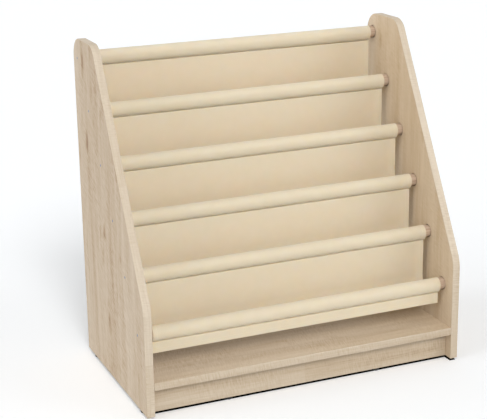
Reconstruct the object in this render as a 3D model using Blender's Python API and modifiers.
"""Children's sling bookcase: two board sides carry six round rods, a sewn cloth sling hangs on the rods in
five book pockets, and a shelf on two plinths closes the bottom. Metres, +Z up, front towards -Y.
The origin is on the floor, in the middle of the bookcase."""
import math

import bmesh
import bpy

# Clearance between pieces that touch
GAP = 0.0003
# How far a cutting tool reaches past the face that it enters
OVERCUT = 0.002

# Boards: side panels of faced chipboard with a banded edge
BOARD = 0.018
INNER_WIDTH = 0.742
DEPTH = 0.435
PANEL_HEIGHT = 0.767
TOP_LENGTH = 0.1445
KNEE_RISE = 0.242
BACK_CORNER_RADIUS = 0.045
FRONT_CORNER_RADIUS = 0.040
KNEE_RADIUS = 0.070
BAND = 0.001
CORNER_STEPS = 7

# Shelf and plinths
PLINTH_HEIGHT = 0.060
PLINTH_SETBACK = 0.0235

# Rods: places from the panel's back, top and front and from the shelf
ROD_COUNT = 6
ROD_DIAMETER = 0.028
ROD_CHAMFER = 0.0015
FIRST_ROD_FROM_BACK = 0.028
FIRST_ROD_FROM_TOP = 0.0465
LAST_ROD_FROM_FRONT = 0.0475
LAST_ROD_ABOVE_SHELF = 0.0975
SOCKET_DEPTH = 0.010
SOCKET_PLAY = 0.0015
ROD_SIDES = 20

# Countersunk wood screws that hold the rods from outside
SCREW_LENGTH = 0.038
SCREW_DIAMETER = 0.0036
SCREW_HEAD_DIAMETER = 0.0062
SCREW_HEAD_HEIGHT = 0.0026
SCREW_RECESS_DIAMETER = 0.0024
SCREW_RECESS_DEPTH = 0.0012
SCREW_TIP = 0.005
SCREW_SUNK = 0.0002
SCREW_SIDES = 10

# Sling: coated cloth in strips, each sewn to the next under a rod
CLOTH = 0.0012
CLOTH_SIDE_GAP = 0.013
CLOTH_IN_FRONT = 0.003
POCKET_DROP = 0.045
POCKET_BACK_RISE = 0.050
POCKET_FRONT_RISE = 0.024
FLAP_DROP = 0.048
POCKET_STEPS = 8
SLEEVE_STEPS = 20

# Cam fittings and wooden pins in the board joints
CAM_DIAMETER = 0.015
CAM_HEIGHT = 0.0124
CAM_FROM_END = 0.034
CAM_SLOT_WIDTH = 0.0076
CAM_SLOT_HEIGHT = 0.0074
CAM_SIDES = 12
BOLT_THREAD_DIAMETER = 0.005
BOLT_THREAD_LENGTH = 0.011
BOLT_SHANK_DIAMETER = 0.006
BOLT_NECK_DIAMETER = 0.004
BOLT_HEAD_DIAMETER = 0.0065
BOLT_HEAD_LENGTH = 0.003
BOLT_SIDES = 8
PIN_DIAMETER = 0.008
PIN_LENGTH = 0.030
PIN_IN_PANEL = 0.010
PIN_CHAMFER = 0.001
PIN_SIDES = 8
SHELF_CAM_FROM_EDGE = 0.070
PLINTH_PIN_RISE = 0.030
PLINTH_PIN_FROM_END = 0.170

# Push-in plastic glides
FOOT_HEIGHT = 0.006
FOOT_DIAMETER = 0.0176
FOOT_EDGE = 0.0012
FOOT_SIDES = 14
STEM_LENGTH = 0.014
STEM_DIAMETER = 0.005
STEM_POINT = 0.002
SIDE_FOOT_FROM_FRONT = 0.045
SIDE_FOOT_FROM_BACK = 0.052
PLINTH_FOOT_FROM_END = 0.185

# Places that follow from the sizes above
FRONT = -DEPTH / 2
BACK = DEPTH / 2
INNER = INNER_WIDTH / 2
PANEL_TOP = FOOT_HEIGHT + PANEL_HEIGHT
KNEE = FOOT_HEIGHT + KNEE_RISE
SHELF_UNDER = FOOT_HEIGHT + PLINTH_HEIGHT
SHELF_TOP = SHELF_UNDER + BOARD
SHELF_MIDDLE = SHELF_UNDER + BOARD / 2
PLINTH_FRONT_MIDDLE = FRONT + PLINTH_SETBACK + BOARD / 2
PLINTH_BACK_MIDDLE = BACK - PLINTH_SETBACK - BOARD / 2
ROD_RADIUS = ROD_DIAMETER / 2
FIRST_ROD_Y = BACK - FIRST_ROD_FROM_BACK
FIRST_ROD_Z = PANEL_TOP - FIRST_ROD_FROM_TOP
LAST_ROD_Y = FRONT + LAST_ROD_FROM_FRONT
LAST_ROD_Z = SHELF_TOP + LAST_ROD_ABOVE_SHELF
ROD_STEP_Y = (LAST_ROD_Y - FIRST_ROD_Y) / (ROD_COUNT - 1)
ROD_STEP_Z = (LAST_ROD_Z - FIRST_ROD_Z) / (ROD_COUNT - 1)
ROD_PLACES = [(FIRST_ROD_Y + i * ROD_STEP_Y, FIRST_ROD_Z + i * ROD_STEP_Z) for i in range(ROD_COUNT)]
ROD_END = INNER + SOCKET_DEPTH - GAP
SCREW_HEAD_X = INNER + BOARD - SCREW_SUNK
SLEEVE_RADIUS = ROD_RADIUS + GAP + CLOTH
CAM_X = INNER - CAM_FROM_END
CAM_ROWS = (("front", FRONT + SHELF_CAM_FROM_EDGE), ("back", BACK - SHELF_CAM_FROM_EDGE))
PLINTHS = (("front", PLINTH_FRONT_MIDDLE), ("rear", PLINTH_BACK_MIDDLE))
SIDES = (("left", -1), ("right", 1))
PLINTH_PIN_Z = FOOT_HEIGHT + PLINTH_PIN_RISE
PLINTH_PIN_X = INNER - PLINTH_PIN_FROM_END

# Finishes: colour, roughness and metallic value
MAPLE_FACING = ((0.60, 0.50, 0.38), 0.45, 0.0)
BAND_FACING = ((0.74, 0.63, 0.49), 0.40, 0.0)
ROD_WOOD = ((0.52, 0.37, 0.26), 0.55, 0.0)
CREAM_CLOTH = ((0.78, 0.70, 0.52), 0.75, 0.0)
ZINC = ((0.55, 0.58, 0.62), 0.35, 1.0)
CAST_ZINC = ((0.50, 0.50, 0.50), 0.50, 1.0)
PIN_WOOD = ((0.62, 0.47, 0.32), 0.60, 0.0)
BLACK_PLASTIC = ((0.015, 0.015, 0.016), 0.50, 0.0)


def clear_scene():
    """Removes every object, so that the script can run twice in one file."""
    for old in list(bpy.data.objects):
        bpy.data.objects.remove(old, do_unlink=True)


def new_collection(name):
    """A collection in the scene, made once."""
    group = bpy.data.collections.get(name) or bpy.data.collections.new(name)
    if name not in bpy.context.scene.collection.children:
        bpy.context.scene.collection.children.link(group)
    return group


def finish_material(name, finish):
    """One Principled material for one sub-part."""
    colour, roughness, metallic = finish
    made = bpy.data.materials.new(name)
    made.use_nodes = True
    shader = made.node_tree.nodes["Principled BSDF"]
    shader.inputs["Base Color"].default_value = (*colour, 1.0)
    shader.inputs["Roughness"].default_value = roughness
    shader.inputs["Metallic"].default_value = metallic
    made.diffuse_color = (*colour, 1.0)
    return made


def place_object(name, mesh, finish=None, location=(0, 0, 0)):
    """Puts a mesh in the scene: with a finish as a piece of the bookcase, without one as a cutter."""
    made = bpy.data.objects.new(name, mesh)
    made.location = location
    if finish:
        mesh.materials.append(finish_material(name, finish))
        bookcase.objects.link(made)
        made.parent = frame_empty
    else:
        cutters.objects.link(made)
        made.hide_render = True
        made.display_type = "WIRE"
    return made


def box(name, low, high, finish=None):
    """A board or a square cutter between two corners."""
    shape = bmesh.new()
    bmesh.ops.create_cube(shape, size=1.0)
    for vert in shape.verts:
        vert.co = [low[i] + (vert.co[i] + 0.5) * (high[i] - low[i]) for i in range(3)]
    mesh = bpy.data.meshes.new(name)
    shape.to_mesh(mesh)
    shape.free()
    return place_object(name, mesh, finish)


def turned(name, profile, axis, location, sides, finish=None):
    """A turned piece: (place along the axis, radius) pairs, from the low end to the high end, spun round."""
    shape = bmesh.new()
    verts = []
    for along, radius in reversed(profile):
        point = {"X": (along, 0, radius), "Y": (radius, along, 0), "Z": (radius, 0, along)}[axis]
        verts.append(shape.verts.new(point))
    for first, second in zip(verts, verts[1:]):
        shape.edges.new((first, second))
    mesh = bpy.data.meshes.new(name)
    shape.to_mesh(mesh)
    shape.free()
    made = place_object(name, mesh, finish, location)
    spin = made.modifiers.new("Spin", "SCREW")
    spin.axis = axis
    spin.steps = sides
    spin.render_steps = sides
    spin.use_merge_vertices = True
    spin.merge_threshold = 0.00005
    return made


def repeat(piece, count, step):
    """Copies a piece in a row, as separate bodies in one object."""
    row = piece.modifiers.new("Row", "ARRAY")
    row.count = count
    row.use_relative_offset = False
    row.use_constant_offset = True
    row.constant_offset_displace = step
    return piece


def both_sides(piece, axis=0):
    """Mirrors a piece to the other side of the bookcase, as a separate body."""
    twin = piece.modifiers.new("Other side", "MIRROR")
    twin.use_axis = [i == axis for i in range(3)]
    twin.mirror_object = frame_empty
    twin.use_mirror_merge = False
    twin.merge_threshold = 0.00005
    return piece


def cut(piece, cutter, solver="EXACT"):
    """Takes a cutter out of a piece."""
    bite = piece.modifiers.new(cutter.name, "BOOLEAN")
    bite.operation = "DIFFERENCE"
    bite.solver = solver
    bite.object = cutter


def plate(name, outlines, thickness, middle, finish):
    """A flat piece upright along the depth: outlines of (y, z) points, filled and given a thickness in X."""
    curve = bpy.data.curves.new(name, "CURVE")
    curve.dimensions = "2D"
    curve.fill_mode = "BOTH"
    curve.extrude = thickness / 2
    for outline in outlines:
        spline = curve.splines.new("POLY")
        spline.points.add(len(outline) - 1)
        for point, (y, z) in zip(spline.points, outline):
            point.co = (y, z, 0, 1)
        spline.use_cyclic_u = True
    drawn = bpy.data.objects.new(name + " drawing", curve)
    drawn.rotation_euler = (math.pi / 2, 0, math.pi / 2)
    drawn.location = (middle, 0, 0)
    bpy.context.scene.collection.objects.link(drawn)
    bpy.context.view_layer.update()
    ready = drawn.evaluated_get(bpy.context.evaluated_depsgraph_get())
    mesh = bpy.data.meshes.new_from_object(ready)
    mesh.name = name
    mesh.materials.clear()
    shape = bmesh.new()
    shape.from_mesh(mesh)
    bmesh.ops.remove_doubles(shape, verts=shape.verts, dist=0.00002)
    bmesh.ops.recalc_face_normals(shape, faces=shape.faces)
    shape.to_mesh(mesh)
    shape.free()
    made = place_object(name, mesh, finish)
    made.matrix_world = drawn.matrix_world
    bpy.data.objects.remove(drawn, do_unlink=True)
    return made


def rounded(before, corner, after, radius):
    """The arc that rounds a corner between two straight edges."""
    to_before = math.atan2(before[1] - corner[1], before[0] - corner[0])
    to_after = math.atan2(after[1] - corner[1], after[0] - corner[0])
    opening = (to_after - to_before) % (2 * math.pi)
    if opening > math.pi:
        opening -= 2 * math.pi
    middle = to_before + opening / 2
    reach = radius / math.sin(abs(opening) / 2)
    centre = (corner[0] + reach * math.cos(middle), corner[1] + reach * math.sin(middle))
    turn = math.copysign(math.pi - abs(opening), opening)
    arc = []
    for i in range(CORNER_STEPS + 1):
        angle = middle + math.pi + turn / 2 - turn * i / CORNER_STEPS
        arc.append((centre[0] + radius * math.cos(angle), centre[1] + radius * math.sin(angle)))
    return arc


def panel_edge(inset):
    """The side panel's edge from the bottom at the back, over the top, to the bottom at the front."""
    low = FOOT_HEIGHT
    top = PANEL_TOP - inset
    back = BACK - inset
    front = FRONT + inset
    slope_run = DEPTH - TOP_LENGTH
    slope_rise = PANEL_TOP - KNEE
    slope_length = math.hypot(slope_run, slope_rise)
    # The sloping edge moves in square to itself, so its ends slide along the top and along the front
    top_front = BACK - TOP_LENGTH + inset * (slope_length - slope_run) / slope_rise
    knee = KNEE - inset * (slope_length - slope_rise) / slope_run
    corners = [(back, low), (back, top), (top_front, top), (front, knee), (front, low)]
    radii = (BACK_CORNER_RADIUS, FRONT_CORNER_RADIUS, KNEE_RADIUS)
    edge = [corners[0]]
    for i, radius in enumerate(radii, start=1):
        edge += rounded(corners[i - 1], corners[i], corners[i + 1], radius - inset)
    return edge + [corners[-1]]


def facing_out(profile, side):
    """A profile drawn for the right side, turned round for the left."""
    if side > 0:
        return profile
    return [(-along, radius) for along, radius in reversed(profile)]


def rod_holes(name, side):
    """Cutters for all rods of one panel: the blind sockets, and the screw holes with their countersinks."""
    socket = ROD_RADIUS + SOCKET_PLAY
    floor = INNER + SOCKET_DEPTH
    hole = SCREW_DIAMETER / 2 + GAP
    head = SCREW_HEAD_DIAMETER / 2 + GAP
    outer = INNER + BOARD + OVERCUT
    sockets = [(INNER - OVERCUT, 0), (INNER - OVERCUT, socket), (floor, socket), (floor, 0)]
    holes = [
        (floor - OVERCUT, 0),
        (floor - OVERCUT, hole),
        (SCREW_HEAD_X - SCREW_HEAD_HEIGHT, hole),
        (SCREW_HEAD_X, head),
        (outer, head),
        (outer, 0),
    ]
    made = []
    for kind, profile, sides in (("_rod_sockets", sockets, ROD_SIDES), ("_screw_holes", holes, SCREW_SIDES)):
        cutter = turned(name + kind, facing_out(profile, side), "X", (0, *ROD_PLACES[0]), sides)
        made.append(repeat(cutter, ROD_COUNT, (0, ROD_STEP_Y, ROD_STEP_Z)))
    return made


def plain_hole(name, start, end, radius, axis, location, sides):
    """Cutter for a straight drilled hole."""
    return turned(name, [(start, 0), (start, radius), (end, radius), (end, 0)], axis, location, sides)


def make_side_panel(name, side):
    """A side panel: the board, its rod sockets and the drillings for fittings, pins and glides."""
    middle = side * (INNER + BOARD / 2)
    panel = plate(name, [panel_edge(BAND + GAP)], BOARD, middle, MAPLE_FACING)
    near, far = sorted((side * (INNER - OVERCUT), side * (INNER + BOLT_THREAD_LENGTH + GAP)))
    place = (0, CAM_ROWS[0][1], SHELF_MIDDLE)
    bolts = plain_hole(name + "_bolts", near, far, BOLT_THREAD_DIAMETER / 2 + GAP, "X", place, BOLT_SIDES)
    near, far = sorted((side * (INNER - OVERCUT), side * (INNER + PIN_IN_PANEL + GAP)))
    place = (0, PLINTH_FRONT_MIDDLE, PLINTH_PIN_Z)
    pins = plain_hole(name + "_pins", near, far, PIN_DIAMETER / 2 + GAP, "X", place, PIN_SIDES)
    stems = stem_hole(name + "_stems", middle, FRONT + SIDE_FOOT_FROM_FRONT)
    repeat(stems, 2, (0, DEPTH - SIDE_FOOT_FROM_FRONT - SIDE_FOOT_FROM_BACK, 0))
    # So many drillings in two large flat faces leave slits with the exact solver
    for cutter in (*rod_holes(name, side), both_sides(bolts, 1), both_sides(pins, 1), stems):
        cut(panel, cutter, "MANIFOLD")
    return panel


def make_panel_band(name, side):
    """The thin band glued round a side panel's back, top and front edges."""
    outline = panel_edge(0) + panel_edge(BAND)[::-1]
    return plate(name, [outline], BOARD, side * (INNER + BOARD / 2), BAND_FACING)


def make_rod(number):
    """A round rod with chamfered ends and a pilot hole for the screw in each end."""
    pilot = SCREW_DIAMETER / 2 + GAP
    pilot_end = SCREW_HEAD_X - SCREW_LENGTH - GAP
    half = [(pilot_end, 0), (pilot_end, pilot), (ROD_END, pilot), (ROD_END, ROD_RADIUS - ROD_CHAMFER)]
    half.append((ROD_END - ROD_CHAMFER, ROD_RADIUS))
    profile = [(-along, radius) for along, radius in half] + half[::-1]
    y, z = ROD_PLACES[number - 1]
    return turned("rod_%d" % number, profile, "X", (0, y, z), ROD_SIDES, ROD_WOOD)


def make_rod_screw(name, side, rod):
    """A countersunk screw through one panel into the end of one rod."""
    tip = SCREW_HEAD_X - SCREW_LENGTH
    shank = SCREW_DIAMETER / 2
    profile = [
        (tip, 0),
        (tip + SCREW_TIP, shank),
        (SCREW_HEAD_X - SCREW_HEAD_HEIGHT, shank),
        (SCREW_HEAD_X, SCREW_HEAD_DIAMETER / 2),
        (SCREW_HEAD_X, SCREW_RECESS_DIAMETER / 2),
        (SCREW_HEAD_X - SCREW_RECESS_DEPTH, SCREW_RECESS_DIAMETER / 2),
        (SCREW_HEAD_X - SCREW_RECESS_DEPTH, 0),
    ]
    return turned(name, facing_out(profile, side), "X", (0, *ROD_PLACES[rod - 1]), SCREW_SIDES, ZINC)


def sleeve_point(radius, angle):
    """A point on a sleeve, by its angle from straight down, growing towards the back."""
    return (radius * math.sin(angle), -radius * math.cos(angle))


def strip_sides(middle):
    """The back and the front face of a strip of cloth whose middle line is given."""
    back = []
    front = []
    for i, (y, z) in enumerate(middle):
        ahead = middle[min(i + 1, len(middle) - 1)]
        behind = middle[max(i - 1, 0)]
        length = math.hypot(ahead[0] - behind[0], ahead[1] - behind[1])
        across = ((behind[1] - ahead[1]) / length * CLOTH / 2, (ahead[0] - behind[0]) / length * CLOTH / 2)
        back.append((y + across[0], z + across[1]))
        front.append((y - across[0], z - across[1]))
    return back, front


def pocket_line():
    """Middle line of a pocket below its rod: down the back wall, round the bottom, up behind the next rod."""
    back_y = -CLOTH_IN_FRONT
    front_y = ROD_STEP_Y - CLOTH_IN_FRONT + CLOTH + GAP
    bottom = ROD_STEP_Z - POCKET_DROP
    middle_y = (back_y + front_y) / 2
    line = [(back_y, -math.sqrt(SLEEVE_RADIUS ** 2 - back_y ** 2) + CLOTH / 2)]
    for i in range(POCKET_STEPS + 1):
        angle = math.pi / 2 * i / POCKET_STEPS
        y = middle_y + (back_y - middle_y) * math.cos(angle)
        line.append((y, bottom + POCKET_BACK_RISE * (1 - math.sin(angle))))
    for i in range(1, POCKET_STEPS + 1):
        angle = math.pi / 2 * (1 - i / POCKET_STEPS)
        y = middle_y + (front_y - middle_y) * math.cos(angle)
        line.append((y, bottom + POCKET_FRONT_RISE * (1 - math.sin(angle))))
    line.append((front_y, ROD_STEP_Z - SLEEVE_RADIUS - GAP))
    return line


def flap_line():
    """Middle line of the short flap below the last rod."""
    top = -math.sqrt(SLEEVE_RADIUS ** 2 - CLOTH_IN_FRONT ** 2) + CLOTH / 2
    return [(-CLOTH_IN_FRONT, top), (-CLOTH_IN_FRONT, -FLAP_DROP)]


def make_sling_strip(name, line, rod):
    """One strip of the sling: its sleeve round a rod and the cloth that hangs from it."""
    back, front = strip_sides(line)
    front_angle = math.asin((-CLOTH_IN_FRONT - CLOTH / 2) / SLEEVE_RADIUS)
    back_angle = math.asin((-CLOTH_IN_FRONT + CLOTH / 2) / SLEEVE_RADIUS) - 2 * math.pi
    outer = []
    for i in range(SLEEVE_STEPS + 1):
        angle = front_angle + (back_angle - front_angle) * i / SLEEVE_STEPS
        outer.append(sleeve_point(SLEEVE_RADIUS, angle))
    outer += back[1:] + front[:0:-1]
    inner = []
    for i in range(SLEEVE_STEPS):
        inner.append(sleeve_point(SLEEVE_RADIUS - CLOTH, 2 * math.pi * i / SLEEVE_STEPS))
    y, z = ROD_PLACES[rod - 1]
    outlines = [[(y + point[0], z + point[1]) for point in outline] for outline in (outer, inner)]
    return plate(name, outlines, INNER_WIDTH - 2 * CLOTH_SIDE_GAP, 0, CREAM_CLOTH)


def make_shelf():
    """The bottom shelf, bored from its ends for cam bolts and from below for cams and plinth pins."""
    end = INNER - GAP
    shelf = box("bottom_shelf", (-end, FRONT + BAND + GAP, SHELF_UNDER), (end, BACK, SHELF_TOP), MAPLE_FACING)
    row = CAM_ROWS[0][1]
    bolts = plain_hole("shelf_bolt_bores", CAM_X, INNER + OVERCUT, BOLT_HEAD_DIAMETER / 2 + GAP, "X",
                       (0, row, SHELF_MIDDLE), BOLT_SIDES)
    cut(shelf, both_sides(both_sides(bolts, 1)))
    cams = plain_hole("shelf_cam_holes", -OVERCUT, CAM_HEIGHT + GAP, CAM_DIAMETER / 2 + GAP, "Z",
                      (CAM_X, row, SHELF_UNDER), CAM_SIDES)
    cut(shelf, both_sides(both_sides(cams, 1)))
    pins = plain_hole("shelf_pin_holes", -OVERCUT, PIN_IN_PANEL + GAP, PIN_DIAMETER / 2 + GAP, "Z",
                      (PLINTH_PIN_X, PLINTH_FRONT_MIDDLE, SHELF_UNDER), PIN_SIDES)
    cut(shelf, both_sides(both_sides(pins, 1)))
    return shelf


def make_plinth(name, middle):
    """A plinth board under the shelf, drilled for pins in its ends and its top and for glides from below."""
    end = INNER - GAP
    low = (-end, middle - BOARD / 2, FOOT_HEIGHT)
    high = (end, middle + BOARD / 2, SHELF_UNDER - GAP)
    plinth = box(name, low, high, MAPLE_FACING)
    pin = PIN_DIAMETER / 2 + GAP
    inner_end = PIN_IN_PANEL - PIN_LENGTH - GAP
    end_pins = plain_hole(name + "_end_pins", INNER + inner_end, INNER + OVERCUT, pin, "X",
                          (0, middle, PLINTH_PIN_Z), PIN_SIDES)
    cut(plinth, both_sides(end_pins))
    top_pins = plain_hole(name + "_top_pins", inner_end, OVERCUT, pin, "Z",
                          (PLINTH_PIN_X, middle, SHELF_UNDER), PIN_SIDES)
    cut(plinth, both_sides(top_pins))
    cut(plinth, both_sides(stem_hole(name + "_stems", INNER - PLINTH_FOOT_FROM_END, middle)))
    return plinth


def make_cam_bolt(name, side, y):
    """A cam bolt: thread in the panel, shank in the shelf's end bore, and the head inside the cam."""
    shank_end = CAM_X + CAM_DIAMETER / 2
    neck = BOLT_NECK_DIAMETER / 2
    profile = [
        (CAM_X, 0),
        (CAM_X, BOLT_HEAD_DIAMETER / 2),
        (CAM_X + BOLT_HEAD_LENGTH, BOLT_HEAD_DIAMETER / 2),
        (CAM_X + BOLT_HEAD_LENGTH, neck),
        (shank_end, neck),
        (shank_end, BOLT_SHANK_DIAMETER / 2),
        (INNER - GAP, BOLT_SHANK_DIAMETER / 2),
        (INNER - GAP, BOLT_THREAD_DIAMETER / 2),
        (INNER + BOLT_THREAD_LENGTH, BOLT_THREAD_DIAMETER / 2),
        (INNER + BOLT_THREAD_LENGTH, 0),
    ]
    return turned(name, facing_out(profile, side), "X", (0, y, SHELF_MIDDLE), BOLT_SIDES, ZINC)


def make_cam(name, side, y):
    """A cam disc let into the shelf's underside, slotted for the bolt's head."""
    profile = [(0, 0), (0, CAM_DIAMETER / 2), (CAM_HEIGHT, CAM_DIAMETER / 2), (CAM_HEIGHT, 0)]
    cam = turned(name, profile, "Z", (side * CAM_X, y, SHELF_UNDER), CAM_SIDES, CAST_ZINC)
    slot_start, slot_end = sorted((side * (CAM_X - GAP), side * (CAM_X + CAM_DIAMETER)))
    slot = box(name + "_slot", (slot_start, y - CAM_SLOT_WIDTH / 2, SHELF_MIDDLE - CAM_SLOT_HEIGHT / 2),
               (slot_end, y + CAM_SLOT_WIDTH / 2, SHELF_UNDER + CAM_HEIGHT + OVERCUT))
    cut(cam, slot)
    return cam


def make_pin(name, axis, side, location):
    """A wooden pin with chamfered ends; along X it starts at a panel's inner face, along Z at the shelf."""
    far_end = PIN_IN_PANEL + (INNER if axis == "X" else 0)
    near = far_end - PIN_LENGTH
    radius = PIN_DIAMETER / 2
    profile = [
        (near, 0),
        (near, radius - PIN_CHAMFER),
        (near + PIN_CHAMFER, radius),
        (far_end - PIN_CHAMFER, radius),
        (far_end, radius - PIN_CHAMFER),
        (far_end, 0),
    ]
    return turned(name, facing_out(profile, side), axis, location, PIN_SIDES, PIN_WOOD)


def stem_hole(name, x, y):
    """Cutter for a glide's stem in the lower edge of a board."""
    top = FOOT_HEIGHT + STEM_LENGTH + GAP
    return plain_hole(name, FOOT_HEIGHT - OVERCUT, top, STEM_DIAMETER / 2 + GAP, "Z", (x, y, 0), PIN_SIDES)


def make_glide(name, x, y):
    """A round glide with a softened lower edge and a stem pushed up into the board."""
    radius = FOOT_DIAMETER / 2
    stem = STEM_DIAMETER / 2
    seat = FOOT_HEIGHT - GAP
    tip = FOOT_HEIGHT + STEM_LENGTH
    profile = [(0, 0), (0, radius - FOOT_EDGE), (FOOT_EDGE, radius), (seat, radius)]
    profile += [(seat, stem), (tip - STEM_POINT, stem), (tip, stem - STEM_POINT / 2), (tip, 0)]
    return turned(name, profile, "Z", (x, y, 0), FOOT_SIDES, BLACK_PLASTIC)


clear_scene()
bookcase = new_collection("kids_bookcase")
cutters = new_collection("cutters")
frame_empty = bpy.data.objects.new("kids_bookcase", None)
bookcase.objects.link(frame_empty)

for side_name, side_sign in SIDES:
    make_side_panel("side_panel_" + side_name, side_sign)
    make_panel_band("edge_band_" + side_name, side_sign)

for rod_number in range(1, ROD_COUNT + 1):
    make_rod(rod_number)
    for side_name, side_sign in SIDES:
        make_rod_screw("rod_%d_screw_%s" % (rod_number, side_name), side_sign, rod_number)
    last = rod_number == ROD_COUNT
    strip_name = "sling_flap" if last else "sling_strip_%d" % rod_number
    make_sling_strip(strip_name, flap_line() if last else pocket_line(), rod_number)

make_shelf()
box("shelf_edge_band", (GAP - INNER, FRONT, SHELF_UNDER), (INNER - GAP, FRONT + BAND, SHELF_TOP), BAND_FACING)
for plinth_name, plinth_y in PLINTHS:
    make_plinth(plinth_name + "_plinth", plinth_y)

for side_name, side_sign in SIDES:
    for row_name, row_y in CAM_ROWS:
        make_cam("shelf_cam_%s_%s" % (side_name, row_name), side_sign, row_y)
        make_cam_bolt("shelf_bolt_%s_%s" % (side_name, row_name), side_sign, row_y)
    panel_x = side_sign * (INNER + BOARD / 2)
    make_glide("glide_%s_panel_front" % side_name, panel_x, FRONT + SIDE_FOOT_FROM_FRONT)
    make_glide("glide_%s_panel_back" % side_name, panel_x, BACK - SIDE_FOOT_FROM_BACK)
    for plinth_name, plinth_y in PLINTHS:
        tag = "%s_plinth_%s" % (plinth_name, side_name)
        make_pin(tag + "_end_pin", "X", side_sign, (0, plinth_y, PLINTH_PIN_Z))
        make_pin(tag + "_top_pin", "Z", 1, (side_sign * PLINTH_PIN_X, plinth_y, SHELF_UNDER))
        make_glide(tag + "_glide", side_sign * (INNER - PLINTH_FOOT_FROM_END), plinth_y)
